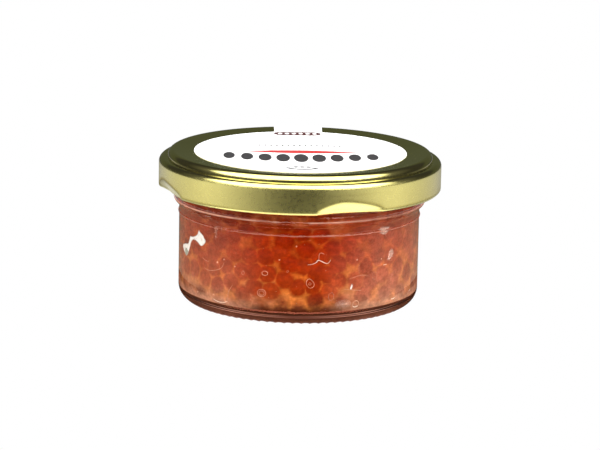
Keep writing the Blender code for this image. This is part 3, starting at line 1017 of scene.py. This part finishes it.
def makeAirShapes():
    parts = []
    for i, (solid, tone, soft, outline) in enumerate(air["shapes"]):
        line = softenLine(outline, True)
        low, high = line.min(0), line.max(0)
        across, up = [np.arange(low[k] - air["cell"], high[k] + air["cell"], air["cell"]) for k in (0, 1)]
        grid = np.stack(np.meshgrid(across, up, indexing="ij"), -1)
        middle = (grid[:-1, :-1] + grid[1:, 1:]) / 2
        inside = toLine(middle.reshape(-1, 2), line)[1].reshape(middle.shape[:2])
        a, b = np.nonzero(inside)
        rows = grid.shape[1]
        quads = np.stack([a * rows + b, (a + 1) * rows + b, (a + 1) * rows + b + 1, a * rows + b + 1], -1)
        used, packed = np.unique(quads, return_inverse=True)
        flat = grid.reshape(-1, 2)[used]
        near = toLine(flat, line)[0]
        outset = air["intoGlass"] + air["layer"] * i + air["rise"] * np.clip(near / 0.6, 0, 1)
        points = onWall(flat[:, 0], flat[:, 1], outset)
        parts.append((points, packed.reshape(-1, 4), near, solid * np.clip(near / soft, 0, 1), tone))
    joinParts("airPocket", parts, ["edge", "cover", "shade"], paleAir())


def paleAir():
    # painted reflection: white where air lies behind the glass, with a brown rim and dark specks
    newMaterial("paleAir")
    tones, brown = [addRamp(addValue("shade"), air[name]) for name in ("tones", "rimTones")]
    rim = addRamp(addValue("edge"), [(0.0, 1.0), (0.3, 0.0)])
    speck = addRamp(addNoise(0.55, 3, 0.6), [(0.54, 0.0), (0.7, 0.6)])
    colour = addMix(addMath("MAXIMUM", rim, speck), tones, brown)
    skin = addNode("BsdfPrincipled", Base_Color=colour, Roughness=0.4)
    return finishMaterial(clearUnder(addValue("cover"), skin))


def tube(line, half, closed):
    # a thin six-sided tube along the wall
    outward = onWall(line[:, 0], line[:, 1], 1.0) - onWall(line[:, 0], line[:, 1], 0.0)
    middle = onWall(line[:, 0], line[:, 1], air["intoGlass"] + half * 0.5)
    if closed:
        forward = np.roll(middle, -1, 0) - np.roll(middle, 1, 0)
        size = half * (1 + 0.25 * np.sin(np.arange(len(line)) / len(line) * fullTurn * 2))
    else:
        forward = np.gradient(middle, axis=0)
        size = half * (0.3 + 0.7 * np.sin(np.linspace(0, math.pi, len(line))))
    side = np.cross(forward, outward)
    side /= np.linalg.norm(side, axis=1)[:, None]
    a = np.arange(6) * fullTurn / 6
    ring = np.cos(a)[None, :, None] * side[:, None] + 0.6 * np.sin(a)[None, :, None] * outward[:, None]
    points = (middle[:, None] + size[:, None, None] * ring).reshape(-1, 3)
    count = len(line) if closed else len(line) - 1
    i, k = np.meshgrid(np.arange(count), np.arange(6), indexing="ij")
    nextI, nextK = (i + 1) % len(line), (k + 1) % 6
    return points, np.stack([i * 6 + k, nextI * 6 + k, nextI * 6 + nextK, i * 6 + nextK], -1).reshape(-1, 4)


# bubble rims, strokes, dots and specks as thin pale tubes: painted highlights
def makeBubbles():
    draw = np.random.default_rng(11)
    parts = []
    for half, bright, closed, line in air["lines"]:
        parts.append((*tube(softenLine(line, closed), half * air["thin"], closed), bright))
    round20 = np.linspace(0, fullTurn, 20, endpoint=False)
    dots = [(turn, high, size, air["dotGlow"]) for turn, high, size in air["dots"]]
    for _ in range(air["specks"]):
        dots.append([draw.uniform(*span) for span in air["speckSpans"]])
    rings = air["rings"] + [(turn, high, size, size, size / 2, bright) for turn, high, size, bright in dots]
    for turn, high, width, tall, half, bright in rings:
        steps = round20 if width > 0.3 else round20[::4]
        across = math.radians(turn) * jar["insideRadius"] + width / 2 * np.sin(steps)
        half *= air["thin"] if width > 0.3 else 1
        parts.append((*tube(np.stack([across, high + tall / 2 * np.cos(steps)], -1), half, True), bright))
    joinParts("bubbles", parts, ["shine"], bubbleRim())


def bubbleRim():
    # painted highlights: thin bright rims, from orange pink to nearly white
    newMaterial("bubbleRim")
    tone = addMath("ADD", addValue("shine"), addUneven(0.4, -0.2, 0.7, 2))
    rim = addNode("BsdfPrincipled", Base_Color=addRamp(tone, air["bubbleTones"]), Roughness=0.3)
    cover = addRamp(tone, [(0.0, 0.45), (0.9, 0.95)])
    return finishMaterial(clearUnder(cover, rim))


# Stage: a white floor, and what the lid and the glass mirror

stage = {
    "floorSize": 6000,
    "floorGlow": 8.0,
    # painted shadow on the floor under the jar: its tones from the middle out, and how far from the middle it
    # ends
    "shade": [(0.16, 0.035, 0.02), (0.17, 0.05, 0.03), (0.2, 0.09, 0.06)],
    "shadeStart": 26.1,
    "shadeEnd": 27.3,
    # painted shade of the floor as seen through the heel, lighter at the sides
    "heelShadowTones": [(0.2, (0.24, 0.075, 0.045)), (0.4, (0.3, 0.13, 0.09))],
    # painted light: the floor under the jar is brighter for light that bounces onto the roe
    "ontoRoe": (3.0, 1.8, 1.3),
    # what the lid's edge mirrors of the floor, as shares of 100 mm from the middle: painted shade near the
    # jar and a painted ring of reddish light
    "mirrored": [
        (0.3, (0.06, 0.025, 0.018)), (0.345, (0.06, 0.025, 0.018)), (0.352, 0.0), (0.368, 0.0),
        (0.38, (0.75, 0.27, 0.18)), (0.42, (0.75, 0.27, 0.18)), (0.44, (0.015, 0.006, 0.005)),
    ],
    "mirroredAside": [(0.42, 1.0), (0.7, 0.04)],
    # rings of light low round the jar: radius, how bright, and how warm
    "cardRings": [
        (47, 0.3, 1), (62, 0.36, 1), (75, 0.4, 1), (140, 0.45, 1), (165, 1.16, 0), (200, 0.98, 0),
        (300, 0.95, 0), (600, 0.15, 0), (2900, 0.08, 0),
    ],
    "cardTurn": [
        (0.0, 0.02), (0.08, 0.05), (0.17, 0.26), (0.25, 0.5), (0.33, 0.8), (0.42, 1.0), (0.53, 0.75),
        (0.7, 0.5), (0.85, 0.2), (1.0, 0.17),
    ],
    "cardWarmth": [(0.0, 1.0), (1.0, (1.0, 0.85, 0.58))],
    "cardGlow": 1.9,
    "cardHeight": 0.3,
    "cardSteps": 96,
    # a ring of light under the lid's edge
    "rimRings": [(37.2, 1.0, 0), (40.0, 1.0, 0), (44.0, 0.6, 0), (50.0, 0.25, 0)],
    "rimHeight": 24.0,
    "rimGlow": 3.2,
    "rimAside": [(0.6, 1.0), (0.82, 0.3)],
    "skyStrength": 4.0,
    "skyMirrored": 5.4,
    "skyLean": 24.5,
    "skyWide": 0.38,
    "skyTones": [
        (0.0, (0.019, 0.021, 0.012)), (0.1, 0.01), (0.4, 0.01), (0.73, 0.035), (0.785, 0.45), (0.83, 0.95),
        (1.0, 1.0),
    ],
    "underTones": [(0.05, (0.05, 0.017, 0.011)), (0.4, (0.15, 0.065, 0.045))],
    "lampTurn": (-48, 52),
    "lampSize": (420, 110),
    "lampDistance": 520,
    "lampRise": 22,
    "lampAim": 28,
    "fillPower": (2.8, 3.9),
    "gleamPower": 26.0,
}


def makeStage():
    half = stage["floorSize"] / 2
    corners = [(-half, -half, 0), (half, -half, 0), (half, half, 0), (-half, half, 0)]
    floor = addMesh("floor", corners, [(0, 1, 2, 3)])
    floor.data.materials.append(whiteFloor())
    addCard("mirrorCard", stage["cardRings"], stage["cardHeight"], sideGlow())
    addCard("rimCard", stage["rimRings"], stage["rimHeight"], rimGlow())
    makeWorld()
    makeLamps()


def whiteFloor():
    # plain white for the camera; painted shadow where it is seen through the glass, painted light where it
    # lights the roe, and painted shade and reddish light where the lid mirrors it
    newMaterial("whiteFloor")
    place = addNode("TexCoord").outputs["Object"]
    reach = addNode("VectorMath", operation="LENGTH", Vector=place).outputs["Value"]
    share, far = [addMath("DIVIDE", reach, span * mm) for span in (40, 100)]
    aside = addMath("ABSOLUTE", addPlace("X", 40))
    path = addNode("LightPath").outputs
    start, end = stage["shadeStart"] / 40, stage["shadeEnd"] / 40
    # painted shadow under the jar
    shade = addRamp(share, [*zip((0.0, start - 0.06, start), stage["shade"]), (end, 1.0)])
    # painted shade seen through the heel
    heel = addRamp(aside, stage["heelShadowTones"])
    through = addMix(addRamp(share, [(0.8, 0.0), (0.9, 1.0)]), heel, (1.0, 1.0, 1.0))
    seen = addMix(path["Is Transmission Ray"], shade, through)
    # painted light that the floor throws onto the roe
    ontoRoe = addRamp(share, [(0.0, stage["ontoRoe"]), (start, stage["ontoRoe"]), (end, 1.0)])
    seen = addMix(path["Diffuse Depth"], seen, ontoRoe)
    fading = addRamp(aside, stage["mirroredAside"])
    # painted shade and reddish light that the lid mirrors
    mirrored = addTone(addRamp(far, stage["mirrored"]), fading)
    direct = addMath("SUBTRACT", 1.0, addMirrored())
    strength = addMath("MULTIPLY_ADD", direct, 1.0 - stage["floorGlow"], stage["floorGlow"])
    glow = addNode("Emission", Color=addMix(direct, mirrored, seen), Strength=strength)
    return finishMaterial(glow)


def addCard(name, rings, height, glow):
    # rings of light that are seen only in reflections
    card = spin(name, [(radius, height) for radius, _, _ in rings], stage["cardSteps"])
    addValues(card, "level", [level for _, level, _ in rings] * stage["cardSteps"])
    addValues(card, "warm", [warm for _, _, warm in rings] * stage["cardSteps"])
    card.data.materials.append(glow)
    card.visible_camera = card.visible_diffuse = card.visible_transmission = card.visible_shadow = False


def sideGlow():
    # dark in front of the jar, bright at its sides
    newMaterial("sideGlow")
    turn = addMath("ARCTAN2", addPlace("X", 1), addPlace("Y", -1))
    share = addMath("DIVIDE", addMath("ABSOLUTE", turn), math.pi)
    tint = addRamp(addValue("warm"), stage["cardWarmth"])
    colour = addTone(tint, addRamp(share, stage["cardTurn"]))
    strength = multiply(addValue("level"), stage["cardGlow"])
    return finishMaterial(addNode("Emission", Color=colour, Strength=strength))


def rimGlow():
    # weaker at the sides
    newMaterial("rimGlow")
    fading = addRamp(addMath("ABSOLUTE", addPlace("X", 40)), stage["rimAside"])
    strength = multiply(addValue("level"), fading, stage["rimGlow"])
    return finishMaterial(addNode("Emission", Strength=strength))


def makeWorld():
    # bright overhead and dark low down, as the lid mirrors it; plain white for the camera
    world = bpy.data.worlds.new("studio")
    bpy.context.scene.world = world
    startNodes(world)
    place = addNode("SeparateXYZ", Vector=addNode("TexCoord").outputs["Generated"]).outputs
    lean = math.radians(stage["skyLean"])
    upright = multiply(place["Z"], math.cos(lean))
    toBox = addMath("MULTIPLY_ADD", place["Y"], -math.sin(lean), upright)
    wide = multiply(place["X"], place["X"])
    near = addMath("MULTIPLY_ADD", wide, stage["skyWide"], toBox)
    mirrored = addMirrored()
    direct = addMath("SUBTRACT", 1.0, mirrored)
    low = multiply(addRamp(near, [(0.0, 1.0), (0.1, 0.0)]), direct)
    underneath = addRamp(addMath("ABSOLUTE", place["X"]), stage["underTones"])
    sky = addMix(low, addRamp(near, stage["skyTones"]), underneath)
    more = stage["skyMirrored"] - stage["skyStrength"]
    strength = addMath("MULTIPLY_ADD", mirrored, more, stage["skyStrength"])
    room = addNode("Background", Color=sky, Strength=strength)
    plain = addNode("Background", Color=(1.0, 1.0, 1.0), Strength=1.0)
    toCamera = addNode("LightPath").outputs["Is Camera Ray"]
    addNode("OutputWorld", Surface=mixSurfaces(toCamera, room, plain))


def makeLamps():
    # low soft boxes left and right of the camera; one pair lights, the other is only mirrored
    width, height = [size * mm for size in stage["lampSize"]]
    rise = math.radians(stage["lampRise"])
    aim = Vector((0, 0, stage["lampAim"])) * mm
    pairs = [("fill", turn, power) for turn, power in zip(stage["lampTurn"], stage["fillPower"])]
    pairs += [("gleam", turn, stage["gleamPower"]) for turn in stage["lampTurn"]]
    for i, (kind, turn, power) in enumerate(pairs):
        data = bpy.data.lights.new(kind + "Box%d" % i, "AREA")
        data.shape = "RECTANGLE"
        data.size = width
        data.size_y = height
        data.energy = power * math.pi * width * height  # gives this radiance
        lamp = bpy.data.objects.new(kind + "Box%d" % i, data)
        a = math.radians(turn)
        away = Vector((math.cos(rise) * math.sin(a), -math.cos(rise) * math.cos(a), math.sin(rise)))
        lamp.location = aim + away * stage["lampDistance"] * mm
        lamp.rotation_euler = (-away).to_track_quat("-Z", "Y").to_euler()
        lamp.visible_diffuse = kind == "fill"
        lamp.visible_glossy = kind == "gleam"
        lamp.visible_transmission = kind == "fill"
        bpy.context.scene.collection.objects.link(lamp)


# Camera

view = {
    "distance": 719.9,
    "elevation": 12.589,
    "aim": (0.28, 0.0, 19.4),
    "roll": 1.15,
    "lens": 165.3,
}


def makeCamera():
    data = bpy.data.cameras.new("camera")
    data.lens = view["lens"]
    data.sensor_width = 36
    data.clip_start = 0.05
    data.clip_end = 20
    camera = bpy.data.objects.new("camera", data)
    bpy.context.scene.collection.objects.link(camera)
    tilt = math.radians(view["elevation"])
    aim = Vector(view["aim"]) * mm
    away = Vector((0, -math.cos(tilt), math.sin(tilt)))
    camera.location = aim + away * view["distance"] * mm
    look = (-away).to_track_quat("-Z", "Y").to_matrix()
    turned = look @ Matrix.Rotation(math.radians(view["roll"]), 3, "Z")
    camera.rotation_euler = turned.to_euler()
    bpy.context.scene.camera = camera
    bpy.context.scene.view_settings.view_transform = "Standard"


makeCamera()
makeStage()
print("stage and camera ready")
makeJar()
makeLid()
print("glass and lid ready")
makeLabel()
makePrint()
print("label ready")
eggs = packEggs()
makeEggs(*eggs)
makeCore()
makeBrine(*eggs)
makeAirShapes()
makeBubbles()
print("roe ready:", len(eggs[0]), "eggs")
